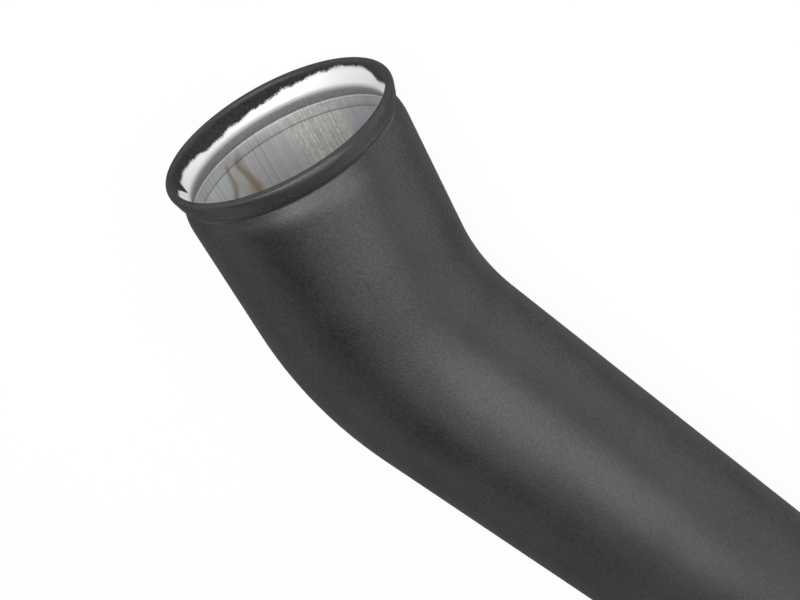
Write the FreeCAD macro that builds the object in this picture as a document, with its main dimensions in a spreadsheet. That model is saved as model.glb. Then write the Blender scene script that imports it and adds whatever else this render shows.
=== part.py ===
import FreeCAD, Part
import math
import os
import Sketcher

# Intercooler pipe: one piece of round tube with a single bend, both ends rolled to a flared lip
# behind which a hose coupler is clamped. The axis lies in the XY plane. The origin is the centre
# of the long leg's mouth, +X runs along the long leg towards the bend, and the bend turns to -Y.

# Driving dimensions, in millimetres and degrees
SIZES = {
    # tube
    "tube_od": 63.5,
    "wall": 2.0,
    "bend_radius": 101.6,
    "bend_angle": 24.0,
    # straight legs, each from its mouth to the start of the bend
    "long_leg": 240.0,
    "short_leg": 49.7,
    # rolled end, outside: radial heights from the tube's surface, lengths along the axis
    "lip_rise": 0.5,
    "lip_land": 1.6,
    "flare_length": 3.0,
    "flare_drop": 0.75,
    "neck_length": 1.4,
    "groove_depth": 1.4,
    "shoulder_length": 4.8,
    # rolled end, inside: the mouth tapers in, then slopes down to the throat under the groove
    "mouth_length": 2.7,
    "mouth_drop": 0.3,
    "throat_start": 5.7,
    "throat_land": 1.2,
    "flank_length": 3.8,
    "run_out": 3.0,
    # roundings
    "lip_round": 0.7,
    "groove_round": 0.9,
    "shoulder_round": 6.0,
}

# The rolled end reaches from its mouth past its inner flank, and the plain tube starts there
FORMED_PARTS = ("throat_start", "throat_land", "flank_length", "run_out")
FORMED_LENGTH = "(" + " + ".join("Sizes." + name for name in FORMED_PARTS) + ")"

TUBE_RADIUS = "Sizes.tube_od / 2"
BORE_RADIUS = "Sizes.tube_od / 2 - Sizes.wall"
LIP_RADIUS = "Sizes.tube_od / 2 + Sizes.lip_rise"
GROOVE_RADIUS = "Sizes.tube_od / 2 - Sizes.groove_depth"
THROAT_RADIUS = GROOVE_RADIUS + " - Sizes.wall"
MOUTH_RADIUS = LIP_RADIUS + " - Sizes.wall"

UP = FreeCAD.Vector(0, 0, 1)

# The points of a line, an arc or a circle, then a sketch's own axes and origin
START, END, CENTRE = range(1, 4)
X_AXIS, Y_AXIS = range(-1, -3, -1)
ORIGIN = (X_AXIS, START)

# Corners of the rolled end's wall section, each with its rounding
ROUNDED_CORNERS = {
    "mouth_edge": "lip_round",
    "groove": "groove_round",
    "shoulder_top": "shoulder_round",
}


def make_sheet(doc):
    sheet = doc.addObject("Spreadsheet::Sheet", "Sizes")
    for row, (name, value) in enumerate(SIZES.items(), start=1):
        sheet.set("A%d" % row, name)
        sheet.set("B%d" % row, str(value))
        sheet.setAlias("B%d" % row, name)
    doc.recompute()
    return sheet


def origin_plane(body, role):
    return next(feature for feature in body.Origin.OriginFeatures if feature.Role == role)


def new_sketch(body, name, plane_role):
    sketch = body.newObject("Sketcher::SketchObject", name)
    sketch.AttachmentSupport = (origin_plane(body, plane_role), [""])
    sketch.MapMode = "FlatFace"
    return sketch


def drive(sketch, name, expression, kind, *operands):
    """Adds a named dimension whose value comes from the sheet. The last operand is its first value."""
    index = sketch.addConstraint(Sketcher.Constraint(kind, *operands))
    sketch.renameConstraint(index, name)
    sketch.setExpression("Constraints." + name, expression)


def point(x, y):
    return FreeCAD.Vector(x, y, 0)


def make_spine(body, sheet, formed):
    """Centreline of the plain tube: long leg, bend, short leg, without the two rolled ends."""
    sketch = new_sketch(body, "Spine", "XY_Plane")
    bend_centre = point(sheet.long_leg, -sheet.bend_radius)
    half_turn = FreeCAD.Rotation(UP, -sheet.bend_angle / 2)
    turn = FreeCAD.Rotation(UP, -sheet.bend_angle)
    bend_start, bend_middle, bend_end = (
        bend_centre + part_turn.multVec(point(0, sheet.bend_radius))
        for part_turn in (FreeCAD.Rotation(), half_turn, turn))
    leg_end = bend_end + turn.multVec(point(sheet.short_leg - formed, 0))
    long_leg = sketch.addGeometry(Part.LineSegment(point(formed, 0), bend_start))
    bend = sketch.addGeometry(Part.Arc(bend_end, bend_middle, bend_start))
    short_leg = sketch.addGeometry(Part.LineSegment(bend_end, leg_end))
    sketch.addConstraint([
        Sketcher.Constraint("PointOnObject", long_leg, START, X_AXIS),
        Sketcher.Constraint("PointOnObject", long_leg, END, X_AXIS),
        Sketcher.Constraint("Tangent", long_leg, END, bend, END),
        Sketcher.Constraint("Tangent", bend, START, short_leg, START),
    ])
    drive(sketch, "plain_start", FORMED_LENGTH, "DistanceX", *ORIGIN, long_leg, START, formed)
    drive(sketch, "bend_start", "Sizes.long_leg", "DistanceX", *ORIGIN, long_leg, END, sheet.long_leg)
    drive(sketch, "bend_radius", "Sizes.bend_radius", "Radius", bend, sheet.bend_radius)
    drive(sketch, "bend_angle", "Sizes.bend_angle * 1 deg", "Angle", bend, math.radians(sheet.bend_angle))
    drive(sketch, "short_length", "Sizes.short_leg - " + FORMED_LENGTH,
          "Distance", short_leg, sheet.short_leg - formed)
    return sketch


def make_section(body, sheet):
    """The tube's ring section, where the plain tube starts on the long leg."""
    sketch = new_sketch(body, "Section", "YZ_Plane")
    sketch.setExpression("AttachmentOffset.Base.z", FORMED_LENGTH)
    outside = sheet.tube_od / 2
    rings = {
        "outside": (outside, TUBE_RADIUS),
        "bore": (outside - sheet.wall, BORE_RADIUS),
    }
    for name, (radius, expression) in rings.items():
        circle = sketch.addGeometry(Part.Circle(point(0, 0), UP, radius))
        sketch.addConstraint(Sketcher.Constraint("Coincident", circle, CENTRE, *ORIGIN))
        drive(sketch, name, expression, "Radius", circle, radius)
    return sketch


def make_end_profile(doc, body, sheet, name):
    """Wall section of a rolled end. Local x runs into the tube from the mouth, y is the radius.

    Outside, from the mouth: lip land, flare, neck, groove, sloping shoulder, tube.
    Inside, back to the mouth: bore, flank, throat, slope, tapering mouth.
    """
    sketch = new_sketch(body, name, "XY_Plane")
    tube = sheet.tube_od / 2
    lip = tube + sheet.lip_rise
    groove = tube - sheet.groove_depth
    flare_start = sheet.lip_land
    foot = flare_start + sheet.flare_length
    groove_start = foot + sheet.neck_length
    throat_end = sheet.throat_start + sheet.throat_land
    flank_end = throat_end + sheet.flank_length
    formed = flank_end + sheet.run_out
    bore = tube - sheet.wall
    throat = groove - sheet.wall
    mouth = lip - sheet.wall
    corners = [
        ("mouth_edge", point(0, lip)),
        ("flare_top", point(flare_start, lip)),
        ("flare_foot", point(foot, lip - sheet.flare_drop)),
        ("groove", point(groove_start, groove)),
        ("shoulder_top", point(groove_start + sheet.shoulder_length, tube)),
        ("tube_outside", point(formed, tube)),
        ("tube_inside", point(formed, bore)),
        ("flank_foot", point(flank_end, bore)),
        ("throat_inner", point(throat_end, throat)),
        ("throat_outer", point(sheet.throat_start, throat)),
        ("mouth_heel", point(sheet.mouth_length, mouth - sheet.mouth_drop)),
        ("mouth_bore", point(0, mouth)),
    ]
    # A line runs from each corner to the next, and the last one closes the mouth's face
    pairs = list(zip(corners, corners[1:] + corners[:1]))
    line = {}
    for (corner, start), (following, end) in pairs:
        line[corner] = sketch.addGeometry(Part.LineSegment(start, end))
    for (corner, start), (following, end) in pairs:
        sketch.addConstraint(Sketcher.Constraint("Coincident", line[corner], END, line[following], START))
    for level in ("mouth_edge", "shoulder_top", "tube_inside", "throat_inner"):
        sketch.addConstraint(Sketcher.Constraint("Horizontal", line[level]))
    for upright in ("tube_outside", "mouth_bore"):
        sketch.addConstraint(Sketcher.Constraint("Vertical", line[upright]))
    sketch.addConstraint(Sketcher.Constraint("PointOnObject", line["mouth_edge"], START, Y_AXIS))

    def along(size, first, second):
        drive(sketch, size, "Sizes." + size,
              "DistanceX", line[first], START, line[second], START, getattr(sheet, size))

    along("lip_land", "mouth_edge", "flare_top")
    along("flare_length", "flare_top", "flare_foot")
    along("neck_length", "flare_foot", "groove")
    along("shoulder_length", "groove", "shoulder_top")
    along("mouth_length", "mouth_bore", "mouth_heel")
    along("throat_start", "mouth_bore", "throat_outer")
    along("throat_land", "throat_outer", "throat_inner")
    along("flank_length", "throat_inner", "flank_foot")
    along("run_out", "flank_foot", "tube_inside")

    def radius(dimension, corner, value, expression):
        drive(sketch, dimension, expression, "DistanceY", *ORIGIN, line[corner], START, value)

    radius("lip_radius", "mouth_edge", lip, LIP_RADIUS)
    radius("foot_radius", "flare_foot", lip - sheet.flare_drop, LIP_RADIUS + " - Sizes.flare_drop")
    radius("groove_radius", "groove", groove, GROOVE_RADIUS)
    radius("tube_radius", "shoulder_top", tube, TUBE_RADIUS)
    radius("bore_radius", "tube_inside", bore, BORE_RADIUS)
    radius("throat_radius", "throat_inner", throat, THROAT_RADIUS)
    radius("mouth_radius", "mouth_bore", mouth, MOUTH_RADIUS)
    radius("heel_radius", "mouth_heel", mouth - sheet.mouth_drop, MOUTH_RADIUS + " - Sizes.mouth_drop")

    # Each rounding trims its two lines and keeps the corner they were dimensioned to
    doc.recompute()
    trim, keep_corner = True, True
    for corner, size in ROUNDED_CORNERS.items():
        arc = sketch.GeometryCount
        sketch.fillet(line[corner], START, getattr(sheet, size), trim, keep_corner)
        drive(sketch, corner + "_round", "Sizes." + size, "Radius", arc, getattr(sheet, size))
    return sketch


def place_on_short_leg(sketch):
    """Moves an end profile to the short leg's mouth, turned to point back into the tube."""
    sketch.AttachmentOffset = FreeCAD.Placement(FreeCAD.Vector(), FreeCAD.Rotation(UP, 90))
    sketch.setExpression("AttachmentOffset.Rotation.Angle", "180 deg - Sizes.bend_angle * 1 deg")
    sketch.setExpression("AttachmentOffset.Base.x",
                         "Sizes.long_leg + Sizes.bend_radius * sin(Sizes.bend_angle)"
                         " + Sizes.short_leg * cos(Sizes.bend_angle)")
    sketch.setExpression("AttachmentOffset.Base.y",
                         "-Sizes.bend_radius * (1 - cos(Sizes.bend_angle))"
                         " - Sizes.short_leg * sin(Sizes.bend_angle)")


def revolve_end(doc, body, sketch, name):
    doc.recompute()
    end = body.newObject("PartDesign::Revolution", name)
    end.Profile = sketch
    end.ReferenceAxis = (sketch, ["H_Axis"])
    end.Angle = 360
    doc.recompute()


def make_pipe(doc, sheet):
    body = doc.addObject("PartDesign::Body", "Pipe")
    body.Label = "intercooler_pipe"
    formed = sum(getattr(sheet, name) for name in FORMED_PARTS)

    spine = make_spine(body, sheet, formed)
    section = make_section(body, sheet)
    doc.recompute()
    tube = body.newObject("PartDesign::AdditivePipe", "PlainTube")
    tube.Profile = section
    tube.Spine = (spine, [])
    doc.recompute()

    long_end = make_end_profile(doc, body, sheet, "LongEndProfile")
    revolve_end(doc, body, long_end, "LongEnd")
    short_end = make_end_profile(doc, body, sheet, "ShortEndProfile")
    place_on_short_leg(short_end)
    revolve_end(doc, body, short_end, "ShortEnd")
    return body


def check(doc, bodies):
    for item in doc.Objects:
        if "Invalid" in item.State or "Error" in item.State:
            raise RuntimeError(item.Label + " failed to build")
    for body in bodies:
        if body.Shape.isNull() or not body.Shape.isValid() or len(body.Shape.Solids) != 1:
            raise RuntimeError(body.Label + " is not one valid solid")


def main():
    doc = FreeCAD.newDocument("IntercoolerPipe")
    sheet = make_sheet(doc)
    bodies = [make_pipe(doc, sheet)]
    check(doc, bodies)
    os.makedirs("parts", exist_ok=True)
    for body in bodies:
        body.Shape.exportStep("parts/%s.step" % body.Label)
        box = body.Shape.optimalBoundingBox(False)
        print("%s: %.1f x %.1f x %.1f mm, volume %.0f mm3, %d faces" % (
            body.Label, box.XLength, box.YLength, box.ZLength, body.Shape.Volume, len(body.Shape.Faces)))


main()
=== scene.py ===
import math

import bmesh
import bpy
from mathutils import Matrix, Vector


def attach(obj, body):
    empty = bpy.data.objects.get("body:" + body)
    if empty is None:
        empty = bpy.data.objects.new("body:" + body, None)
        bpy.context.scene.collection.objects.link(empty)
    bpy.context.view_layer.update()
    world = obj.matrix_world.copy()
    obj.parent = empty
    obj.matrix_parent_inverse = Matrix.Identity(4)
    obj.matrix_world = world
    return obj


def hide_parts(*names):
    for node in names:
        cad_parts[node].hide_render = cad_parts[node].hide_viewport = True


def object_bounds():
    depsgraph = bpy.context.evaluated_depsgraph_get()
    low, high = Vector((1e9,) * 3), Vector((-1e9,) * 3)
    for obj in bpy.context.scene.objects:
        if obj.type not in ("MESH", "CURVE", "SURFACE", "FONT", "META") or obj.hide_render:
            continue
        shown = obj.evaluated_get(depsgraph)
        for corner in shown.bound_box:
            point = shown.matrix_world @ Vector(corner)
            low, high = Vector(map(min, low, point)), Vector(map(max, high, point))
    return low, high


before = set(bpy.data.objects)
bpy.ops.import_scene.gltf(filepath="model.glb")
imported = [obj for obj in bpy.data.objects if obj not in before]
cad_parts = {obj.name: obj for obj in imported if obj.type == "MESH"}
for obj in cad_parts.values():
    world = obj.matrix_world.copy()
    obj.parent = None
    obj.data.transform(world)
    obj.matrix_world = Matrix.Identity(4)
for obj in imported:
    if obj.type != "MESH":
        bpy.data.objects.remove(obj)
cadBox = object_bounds()
mm = 0.001
xAxis = Vector((1, 0, 0))
zAxis = Vector((0, 0, 1))
print("frame loaded, nodes:", sorted(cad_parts))


# The pipe: one bent tube with the same rolled end on both legs, sizes in mm and degrees.
pipe = {
    "name": "pipe",
    "tubeRadius": 31.75,
    "boreRadius": 29.75,
    "lipRadius": 32.24,
    "longLeg": 240.0,
    "shortLeg": 49.7,
    "bendRadius": 101.6,
    "bendAngle": 24.0,
    "aroundSteps": 160,
    "bendSteps": 32,
    "roundSegments": 6,
    "mergeDistance": 0.01,
}

# The rolled end's wall, from the bore round the lip to the outside:
# (in from the end face, radius, size of the round on that corner, 1 on the bore side and -1 outside)
rolledEnd = {
    "corners": [
        (24.0, pipe["boreRadius"], 0.0, 1),
        (16.5, pipe["boreRadius"], 0.0, 1),
        (14.4, pipe["boreRadius"], 0.25, 1),
        (14.1, 29.64, 0.25, 1),                # sized land
        (11.4, 29.7, 0.2, 1),
        (11.1, 29.8, 0.2, 1),
        (10.6, 29.8, 0.3, 1),                  # foot of the flank
        (6.8, 28.2, 2.5, 1),                   # throat
        (2.7, 29.95, 0.8, 1),                  # heel of the mouth
        (0.0, 30.25, 0.9, 1),
        (0.0, pipe["lipRadius"], 1.0, -1),     # lip
        (1.6, pipe["lipRadius"], 3.0, -1),
        (4.6, 31.5, 2.5, -1),                  # flare's foot
        (6.0, 30.35, 0.9, -1),                 # groove
        (10.4, pipe["tubeRadius"], 13.0, -1),  # shoulder
        (15.0, pipe["tubeRadius"], 0.0, -1),
        (24.0, pipe["tubeRadius"], 0.0, -1),
    ],
}


def roundCorner(bm, corner, size):
    # a round of that radius reaches size * tan(half the turn) along both edges
    near, far = [edge.other_vert(corner) for edge in corner.link_edges]
    turn = (corner.co - near.co).angle(far.co - corner.co)
    reach = size * math.tan(turn / 2)
    bmesh.ops.bevel(bm, geom=[corner], offset=reach, offset_type="OFFSET", affect="VERTICES",
                    segments=pipe["roundSegments"], profile=0.5, material=-1, clamp_overlap=True)


def drawRolledEnd(bm, depthLayer):
    # the wall's section is drawn as a wire, rounded, and spun about the leg's axis
    before = set(bm.verts)
    corners = []
    sizes = []
    for inward, radius, size, side in rolledEnd["corners"]:
        corner = bm.verts.new((inward, 0, radius))
        corner[depthLayer] = side
        corners.append(corner)
        sizes.append(size)
    for start, end in zip(corners, corners[1:]):
        bm.edges.new((start, end))
    for corner, size in zip(corners, sizes):
        if size > 0:
            roundCorner(bm, corner, size)
    wire = [v for v in bm.verts if v not in before]
    for v in wire:
        v[depthLayer] = v[depthLayer] * v.co.x * mm
    wireEdges = {e for v in wire for e in v.link_edges}
    bmesh.ops.spin(bm, geom=wire + list(wireEdges), axis=xAxis, cent=(0, 0, 0),
                   angle=2 * math.pi, steps=pipe["aroundSteps"], use_merge=True)
    return [v for v in bm.verts if v not in before]


def openRings(verts):
    # the rims still open, where a run carries on
    return {e for v in verts for e in v.link_edges if e.is_boundary}


def runStraight(bm, ring, step, depthLayer):
    grown = bmesh.ops.extrude_edge_only(bm, edges=list(ring))["geom"]
    rim = [g for g in grown if isinstance(g, bmesh.types.BMVert)]
    bmesh.ops.translate(bm, verts=rim, vec=step)
    for v in rim:
        v[depthLayer] += math.copysign(step.length * mm, v[depthLayer])
    return openRings(rim)


def unbend(co, bendStart, bendTurn, bendCentre):
    # where a point of the bent pipe lies on the same tube before bending
    arm = co - bendCentre
    turned = math.atan2(arm.x, arm.y)
    if co.x <= bendStart and turned <= 0:
        return co.copy()
    turned = min(max(turned, 0.0), bendTurn)
    back = Matrix.Rotation(turned, 3, "Z") @ arm + bendCentre
    return back + xAxis * (turned * pipe["bendRadius"])


def buildPipe():
    bm = bmesh.new()
    depthLayer = bm.verts.layers.float.new("mouthDepth")
    straightLayer = bm.verts.layers.float_vector.new("straight")
    turn = math.radians(pipe["bendAngle"])
    centre = Vector((pipe["longLeg"], -pipe["bendRadius"], 0))
    away = Matrix.Rotation(-turn, 3, "Z") @ xAxis
    drawn = max(corner[0] for corner in rolledEnd["corners"])

    ring = openRings(drawRolledEnd(bm, depthLayer))
    print("long end rolled:", len(bm.verts), "points")

    ring = runStraight(bm, ring, xAxis * (pipe["longLeg"] - drawn), depthLayer)
    ringVerts = {v for e in ring for v in e.verts}
    spun = bmesh.ops.spin(bm, geom=list(ring) + list(ringVerts), axis=zAxis, cent=centre,
                          angle=-turn, steps=pipe["bendSteps"], use_merge=False)
    last = [g for g in spun["geom_last"] if isinstance(g, bmesh.types.BMVert)]
    runStraight(bm, openRings(last), away * (pipe["shortLeg"] - drawn), depthLayer)
    print("runs and bend:", len(bm.verts), "points")

    bendEnd = Matrix.Rotation(-turn, 3, "Z") @ Vector((0, pipe["bendRadius"], 0)) + centre
    mouth = bendEnd + away * pipe["shortLeg"]
    shortEnd = drawRolledEnd(bm, depthLayer)
    about = Matrix.Rotation(math.pi - turn, 3, "Z")
    bmesh.ops.rotate(bm, verts=shortEnd, cent=(0, 0, 0), matrix=about)
    bmesh.ops.translate(bm, verts=shortEnd, vec=mouth)
    bmesh.ops.remove_doubles(bm, verts=bm.verts, dist=pipe["mergeDistance"])
    bmesh.ops.recalc_face_normals(bm, faces=bm.faces)
    for v in bm.verts:
        v[straightLayer] = unbend(v.co, pipe["longLeg"], turn, centre) * mm
    bmesh.ops.scale(bm, vec=(mm, mm, mm), verts=bm.verts)
    openEdges = sum(1 for e in bm.edges if not e.is_manifold)
    print("short end joined:", len(bm.faces), "faces,", openEdges, "open edges")

    mesh = bpy.data.meshes.new(pipe["name"])
    bm.to_mesh(mesh)
    bm.free()
    mesh.shade_smooth()
    piece = bpy.data.objects.new(pipe["name"], mesh)
    bpy.context.scene.collection.objects.link(piece)
    return piece


# The finish: black powder coat outside and over the lips, bare drawn metal in the bore.
# Lengths in metres, angles in degrees round the tube, noises as (scale, detail, roughness).
finish = {
    "noiseSpan": (0.3, 0.7),            # most of a noise's values lie in here
    "coatDeep": (0.001, 0.001, 0.001, 1),
    "coatPale": (0.028, 0.028, 0.028, 1),
    "coatGrain": (1500.0, 2.0, 0.6),
    "coatGrainShare": 0.7,              # of the change from deep to pale
    "coatGrainRoughness": 0.035,
    "coatGrainHeight": 0.000045,
    "coatStep": 4.0,                    # the coat above bare metal, in heights of its grain
    "coatClouds": (55.0, 3.0, 0.5),
    "coatCloudShare": 0.3,
    "coatGloss": 0.66,
    "coatRoughness": 0.42,
    "coatGrazing": 1.0,                 # roughness at the rim, where a powder coat goes dull
    "coatFacing": (0.25, 0.6),
    "grooveDepth": 0.0054,              # the groove's place, in from the lip
    "grooveReach": (0.0009, 0.0018),
    "grooveFacing": (0.52, 0.72),       # in the groove the coat goes dull later
    "oversprayLeast": 0.0018,           # how far the coat reaches into the mouth
    "oversprayMost": 0.0046,
    "oversprayTurn": 37.7,
    "oversprayRag": 0.0012,
    "oversprayRagNoise": (110.0, 6.0, 0.6),
    "oversprayRagSpan": (0.2, 0.8),
    "oversprayRagStretch": (0.6, 1, 1),
    "oversprayDots": 0.0003,
    "oversprayDotNoise": (2400.0, 1.0, 0.5),
    "oversprayDotSpan": (0.25, 0.75),
    "oversprayFade": (-0.0003, 0.0006),
    "oversprayRuns": [                  # where it ran further in: (angle, half width, reach)
        (-151, 16, 0.0016),
        (11, 5, 0.0028),
    ],
    "oversprayRoughness": 0.95,         # thin and dusty
    "oversprayStart": (0.0006, 0.0016),
    "metalRoughness": 0.55,
    "metalShare": 0.6,                  # a dull oxide film over the drawn bore
    "burnishRoughness": 0.45,           # rolled slope of the mouth
    "burnishShare": 0.25,
    "burnishEnd": (0.0068, 0.0085),
    "drawLines": (1500.0, 4.0, 0.6),
    "drawLineStretch": (0.004, 1, 1),
    "drawLineShades": (0.76, 1.1),
    "drawLineRoughness": 0.06,
    "pits": (1500.0, 3.0, 0.6),
    "pitStretch": (0.5, 1, 1),
    "pitSpan": (0.42, 0.55),
    "pitShades": (0.86, 1.03),
    "tintStart": (0.011, 0.0145),
    "tintLength": (0.08, 0.04),        # in from an end: none left, and still full
    "tintWander": 0.16,                 # in radians
    "tintWanderNoise": (80.0, 1.0, 0.5),
    "metalPlain": (0.75, 0.75, 0.75, 1),
    "boreTintsAndReflection": [                     # tints of the bore by angle, and how pitted it is there; the pale teal stretch from -29 to 12 is a painted reflection
        (-180, (0.72, 0.71, 0.74, 0.2)),
        (-112, (0.70, 0.69, 0.73, 0.2)),
        (-104, (0.90, 0.88, 0.84, 1.0)),
        (-76, (0.88, 0.86, 0.82, 1.0)),
        (-70, (0.72, 0.71, 0.74, 0.2)),
        (-47, (0.74, 0.73, 0.75, 0.2)),
        (-44.5, (0.50, 0.43, 0.32, 0.0)),
        (-42, (0.46, 0.39, 0.28, 0.0)),
        (-39, (0.82, 0.82, 0.81, 0.0)),
        (-34, (0.82, 0.81, 0.78, 0.0)),
        (-32.5, (0.54, 0.48, 0.38, 0.0)),
        (-31, (0.52, 0.45, 0.35, 0.0)),
        # pale teal stretch: a painted reflection of the bright surroundings on the bore wall
        (-29, (0.86, 0.89, 0.89, 0.0)),
        (12, (0.84, 0.87, 0.87, 0.0)),
        (30, (0.72, 0.71, 0.74, 0.2)),
        (180, (1.0, 1.0, 1.0, 1.0)),
    ],
    "paintedBoreShading": [                    # by depth in mm: the rolled slope lighter, partly burnished metal and partly a painted highlight; the flank darker, a painted shade; painted dark and bright lines of shade and highlight at the two steps in the bore; then the bore plain
        (0.0, 1.25),
        (6.0, 1.25),
        (7.6, 0.72),
        (10.2, 0.6),
        (10.45, 0.4),
        (10.75, 1.1),
        (11.05, 1.1),
        (11.3, 0.6),
        (11.6, 0.9),
        (13.9, 0.84),
        (14.2, 0.5),
        (14.6, 1.0),
        (24.0, 1.0),
    ],
}


def addNode(tree, kind, feeds, **settings):
    # feeds are links or fixed values, by socket
    node = tree.nodes.new(kind)
    for name, value in settings.items():
        setattr(node, name, value)
    for socket, value in feeds.items():
        if isinstance(value, bpy.types.NodeSocket):
            tree.links.new(value, node.inputs[socket])
        else:
            node.inputs[socket].default_value = value
    return node


def calculate(tree, operation, first, second):
    return addNode(tree, "ShaderNodeMath", {0: first, 1: second}, operation=operation).outputs[0]


def distance(tree, value, place):
    return calculate(tree, "ABSOLUTE", calculate(tree, "SUBTRACT", value, place), 0.0)


def mapRange(tree, value, fromMin, fromMax, toMin, toMax, smooth=False):
    feeds = {"Value": value, "From Min": fromMin, "From Max": fromMax, "To Min": toMin, "To Max": toMax}
    kind = "SMOOTHSTEP" if smooth else "LINEAR"
    return addNode(tree, "ShaderNodeMapRange", feeds, interpolation_type=kind).outputs["Result"]


def fadeIn(tree, value, start, end):
    return mapRange(tree, value, start, end, 0.0, 1.0, smooth=True)


def mixColour(tree, factor, first, second, blend="MIX"):
    feeds = {"Factor": factor, "A": first, "B": second}
    return addNode(tree, "ShaderNodeMix", feeds, data_type="RGBA", blend_type=blend).outputs["Result"]


def mixValue(tree, factor, first, second):
    return addNode(tree, "ShaderNodeMix", {"Factor": factor, "A": first, "B": second}).outputs["Result"]


def noise(tree, vector, scale, detail, roughness):
    feeds = {"Vector": vector, "Scale": scale, "Detail": detail, "Roughness": roughness}
    return addNode(tree, "ShaderNodeTexNoise", feeds).outputs["Fac"]


def stretch(tree, vector, scale, turn=0.0):
    feeds = {"Vector": vector, "Scale": scale, "Rotation": (math.radians(turn), 0, 0)}
    return addNode(tree, "ShaderNodeMapping", feeds).outputs["Vector"]


def makeRamp(tree, place, stops):
    node = addNode(tree, "ShaderNodeValToRGB", {"Fac": place})
    ramp = node.color_ramp.elements
    ramp.remove(ramp[1])   # its own white stop
    for index, (position, colour) in enumerate(stops):
        stop = ramp[0] if index == 0 else ramp.new(position)
        stop.position = position
        stop.color = colour
    return node


def makeOverspray(tree, straight, angle, depth):
    # 0 on the coat, 1 on bare metal: the coat ends in a ragged, slightly oval line inside the mouth
    turned = stretch(tree, straight, (1, 1, 1), finish["oversprayTurn"])
    parts = addNode(tree, "ShaderNodeSeparateXYZ", {"Vector": turned})
    across = calculate(tree, "MULTIPLY", parts.outputs["Y"], parts.outputs["Y"])
    down = calculate(tree, "MULTIPLY", parts.outputs["Z"], parts.outputs["Z"])
    oval = calculate(tree, "SUBTRACT", across, down)
    reach = (pipe["boreRadius"] * mm) ** 2
    edge = mapRange(tree, oval, -reach, reach, finish["oversprayLeast"], finish["oversprayMost"])
    for degrees, width, further in finish["oversprayRuns"]:
        aside = distance(tree, angle, math.radians(degrees))
        run = mapRange(tree, aside, 0.0, math.radians(width), further, 0.0, smooth=True)
        edge = calculate(tree, "ADD", edge, run)
    rag = noise(tree, stretch(tree, straight, finish["oversprayRagStretch"]), *finish["oversprayRagNoise"])
    ragMost = finish["oversprayRag"]
    rag = mapRange(tree, rag, *finish["oversprayRagSpan"], -ragMost, ragMost)
    dots = noise(tree, straight, *finish["oversprayDotNoise"])
    dotMost = finish["oversprayDots"]
    dots = mapRange(tree, dots, *finish["oversprayDotSpan"], -dotMost, dotMost)
    line = calculate(tree, "ADD", calculate(tree, "ADD", edge, rag), dots)
    past = calculate(tree, "SUBTRACT", depth, line)
    return fadeIn(tree, past, *finish["oversprayFade"])


def makeMetal(tree, straight, along, angle, depth):
    # drawn bore: tints by angle with a painted reflection among them, painted shade and highlight by
    # depth, draw lines along the tube, pitted patches
    wander = noise(tree, straight, *finish["tintWanderNoise"])
    wander = mapRange(tree, wander, 0.0, 1.0, -finish["tintWander"], finish["tintWander"])
    turn = mapRange(tree, calculate(tree, "ADD", angle, wander), -math.pi, math.pi, 0.0, 1.0)
    tints = makeRamp(tree, turn, [((degrees + 180) / 360, tint) for degrees, tint in finish["boreTintsAndReflection"]])
    # painted light and shade by depth: a lighter slope, a darker flank and dark and bright lines at the
    # steps
    deepest = finish["paintedBoreShading"][-1][0]
    inward = mapRange(tree, depth, 0.0, deepest * mm, 0.0, 1.0)
    paintedShadingStops = [(place / deepest, (shade, shade, shade, 1)) for place, shade in finish["paintedBoreShading"]]
    paintedShading = makeRamp(tree, inward, paintedShadingStops)

    lines = noise(tree, stretch(tree, straight, finish["drawLineStretch"]), *finish["drawLines"])
    lined = mapRange(tree, lines, *finish["noiseSpan"], *finish["drawLineShades"])
    pits = noise(tree, stretch(tree, straight, finish["pitStretch"]), *finish["pits"])
    pitted = mapRange(tree, pits, *finish["pitSpan"], *finish["pitShades"])
    pitted = mixValue(tree, tints.outputs["Alpha"], 1.0, pitted)
    drawn = fadeIn(tree, depth, *finish["burnishEnd"])
    marked = mixValue(tree, drawn, 1.0, calculate(tree, "MULTIPLY", lined, pitted))

    # the stains and the painted reflection stay near the two ends
    length = pipe["longLeg"] + pipe["shortLeg"] + math.radians(pipe["bendAngle"]) * pipe["bendRadius"]
    middle = length / 2 * mm
    noneLeft, stillFull = finish["tintLength"]
    nearEnd = fadeIn(tree, distance(tree, along, middle), middle - noneLeft, middle - stillFull)
    inBore = fadeIn(tree, depth, *finish["tintStart"])
    tintedNearEnds = calculate(tree, "MULTIPLY", inBore, nearEnd)
    tint = mixColour(tree, tintedNearEnds, finish["metalPlain"], tints.outputs["Color"])
    # the tint times the painted shade and highlight by depth
    withPaintedShading = mixColour(tree, 1.0, tint, paintedShading.outputs["Color"], "MULTIPLY")
    metal = addNode(tree, "ShaderNodeVectorMath", {0: withPaintedShading, 1: marked}, operation="MULTIPLY")

    rough = mixValue(tree, drawn, finish["burnishRoughness"], finish["metalRoughness"])
    lineRough = finish["drawLineRoughness"]
    lineRough = mapRange(tree, lines, *finish["noiseSpan"], -lineRough, lineRough)
    rough = calculate(tree, "ADD", rough, lineRough)
    share = mixValue(tree, drawn, finish["burnishShare"], finish["metalShare"])
    return {"colour": metal.outputs["Vector"], "rough": rough, "share": share, "lines": lines}


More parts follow.
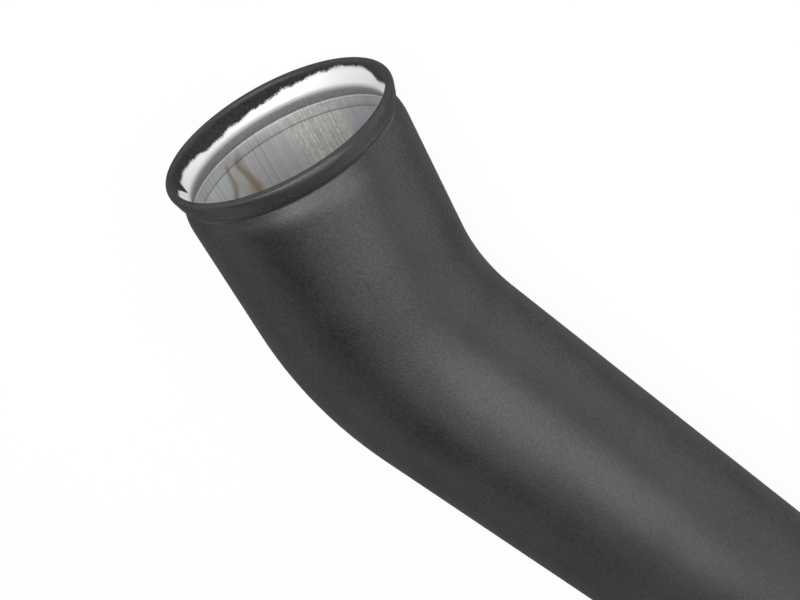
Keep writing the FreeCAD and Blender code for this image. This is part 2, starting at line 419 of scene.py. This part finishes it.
def makeFinish():
    material = bpy.data.materials.new("coatedTube")
    material.use_nodes = True
    tree = material.node_tree
    shader = tree.nodes["Principled BSDF"]
    straight = addNode(tree, "ShaderNodeAttribute", {}, attribute_name="straight").outputs["Vector"]
    depth = addNode(tree, "ShaderNodeAttribute", {}, attribute_name="mouthDepth").outputs["Fac"]
    parts = addNode(tree, "ShaderNodeSeparateXYZ", {"Vector": straight})
    angle = calculate(tree, "ARCTAN2", parts.outputs["Z"], parts.outputs["Y"])
    bare = makeOverspray(tree, straight, angle, depth)
    metal = makeMetal(tree, straight, parts.outputs["X"], angle, depth)

    grain = noise(tree, straight, *finish["coatGrain"])
    cloud = noise(tree, straight, *finish["coatClouds"])
    grainTone = mapRange(tree, grain, *finish["noiseSpan"], 0.0, finish["coatGrainShare"])
    cloudTone = mapRange(tree, cloud, *finish["noiseSpan"], 0.0, finish["coatCloudShare"])
    mottle = calculate(tree, "ADD", grainTone, cloudTone)
    coat = mixColour(tree, mottle, finish["coatDeep"], finish["coatPale"])

    facing = addNode(tree, "ShaderNodeLayerWeight", {"Blend": 0.5}).outputs["Facing"]
    dulling = (finish["coatRoughness"], finish["coatGrazing"])
    coatRough = mapRange(tree, facing, *finish["coatFacing"], *dulling)
    inMouth = fadeIn(tree, depth, *finish["oversprayStart"])
    coatRough = mixValue(tree, inMouth, coatRough, finish["oversprayRoughness"])
    fromGroove = distance(tree, depth, -finish["grooveDepth"])
    inGroove = mapRange(tree, fromGroove, *finish["grooveReach"], 1.0, 0.0, smooth=True)
    grooveRough = mapRange(tree, facing, *finish["grooveFacing"], *dulling)
    coatRough = mixValue(tree, inGroove, coatRough, grooveRough)
    grainRough = finish["coatGrainRoughness"]
    grainRough = mapRange(tree, grain, *finish["noiseSpan"], grainRough, -grainRough)
    coatRough = calculate(tree, "ADD", coatRough, grainRough)

    coatTop = calculate(tree, "ADD", grain, finish["coatStep"])
    height = mixValue(tree, bare, coatTop, metal["lines"])
    relief = {"Height": height, "Strength": 1.0, "Distance": finish["coatGrainHeight"]}
    bump = addNode(tree, "ShaderNodeBump", relief)
    link = tree.links.new
    shader.inputs["Specular IOR Level"].default_value = finish["coatGloss"]
    link(mixColour(tree, bare, coat, metal["colour"]), shader.inputs["Base Color"])
    link(calculate(tree, "MULTIPLY", bare, metal["share"]), shader.inputs["Metallic"])
    link(mixValue(tree, bare, coatRough, metal["rough"]), shader.inputs["Roughness"])
    link(bump.outputs["Normal"], shader.inputs["Normal"])
    return material


# Stage: a plain pale floor that turns up into a low backdrop, four soft boxes and the camera.
stage = {
    "floorSize": 12.0,
    "floorSides": 64,
    "floorGap": 0.0001,
    "backdropHeight": 1.0,
    "floorColour": (0.95, 0.95, 0.95, 1),
    "floorWhite": 0.94,   # the rest shows the pipe's shadow
    "worldColour": (0.03, 0.03, 0.03, 1),
    # soft boxes: (power, length along the pipe, width, place, aim)
    "boxes": {
        "sideBox": (18.0, 2.34, 0.9, (0.31, -0.64, 0.775), (0.27, -0.01, 0.0)),
        "topBox": (0.6, 0.18, 0.18, (0.40, -0.05, 0.38), (0.327, -0.029, 0.0)),
        "backBox": (0.9, 0.5, 0.5, (-0.07, -0.02, 0.84), (0.30, -0.02, 0.0)),
        "endBox": (2.2, 0.8, 0.8, (0.90, 0.29, 0.60), (0.327, -0.029, 0.0)),
    },
    "cameraPlace": (0.393981, -0.166328, 0.265420),
    "cameraTurn": (-37.13338, 2.27025, -137.92163),
    "cameraLens": 53.377,
    "cameraSensor": 36.0,
    "cameraNear": 0.01,
}


def makeFloor(height):
    bm = bmesh.new()
    bmesh.ops.create_circle(bm, cap_ends=True, segments=stage["floorSides"], radius=stage["floorSize"] / 2)
    grown = bmesh.ops.extrude_edge_only(bm, edges=[e for e in bm.edges if e.is_boundary])["geom"]
    rim = [g for g in grown if isinstance(g, bmesh.types.BMVert)]
    bmesh.ops.translate(bm, verts=rim, vec=(0, 0, stage["backdropHeight"]))
    bmesh.ops.translate(bm, verts=bm.verts, vec=(0, 0, height))
    mesh = bpy.data.meshes.new("floor")
    bm.to_mesh(mesh)
    bm.free()
    floor = bpy.data.objects.new("floor", mesh)
    bpy.context.scene.collection.objects.link(floor)

    material = bpy.data.materials.new("paleFloor")
    material.use_nodes = True
    tree = material.node_tree
    tree.nodes.remove(tree.nodes["Principled BSDF"])
    matt = addNode(tree, "ShaderNodeBsdfDiffuse", {"Color": stage["floorColour"]})
    white = addNode(tree, "ShaderNodeEmission", {"Strength": 1.0})
    path = addNode(tree, "ShaderNodeLightPath", {})
    seen = calculate(tree, "MAXIMUM", path.outputs["Is Camera Ray"], path.outputs["Is Glossy Ray"])
    seen = calculate(tree, "MAXIMUM", seen, path.outputs["Is Transmission Ray"])
    share = calculate(tree, "MULTIPLY", seen, stage["floorWhite"])
    mix = addNode(tree, "ShaderNodeMixShader", {0: share, 1: matt.outputs[0], 2: white.outputs[0]})
    tree.links.new(mix.outputs[0], tree.nodes["Material Output"].inputs["Surface"])
    mesh.materials.append(material)


def makeLight():
    world = bpy.data.worlds.new("studio")
    world.use_nodes = True
    world.node_tree.nodes["Background"].inputs["Color"].default_value = stage["worldColour"]
    bpy.context.scene.world = world
    for name, (power, length, width, place, aim) in stage["boxes"].items():
        lamp = bpy.data.lights.new(name, "AREA")
        lamp.shape = "RECTANGLE"
        lamp.energy = power
        lamp.size = length
        lamp.size_y = width
        box = bpy.data.objects.new(name, lamp)
        box.location = place
        away = (box.location - Vector(aim)).normalized()
        along = (xAxis - away * xAxis.dot(away)).normalized()
        box.rotation_euler = Matrix((along, away.cross(along), away)).transposed().to_euler()
        bpy.context.scene.collection.objects.link(box)


def makeCamera():
    lens = bpy.data.cameras.new("camera")
    lens.lens = stage["cameraLens"]
    lens.sensor_width = stage["cameraSensor"]
    lens.clip_start = stage["cameraNear"]
    camera = bpy.data.objects.new("camera", lens)
    camera.location = stage["cameraPlace"]
    camera.rotation_euler = [math.radians(a) for a in stage["cameraTurn"]]
    bpy.context.scene.collection.objects.link(camera)
    bpy.context.scene.camera = camera


piece = buildPipe()
piece.data.materials.append(makeFinish())
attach(piece, "root")
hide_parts("intercooler_pipe")
print("pipe finished")

makeFloor(cadBox[0].z - stage["floorGap"])
makeLight()
makeCamera()
bpy.context.scene.view_settings.view_transform = "Standard"
print("stage set")
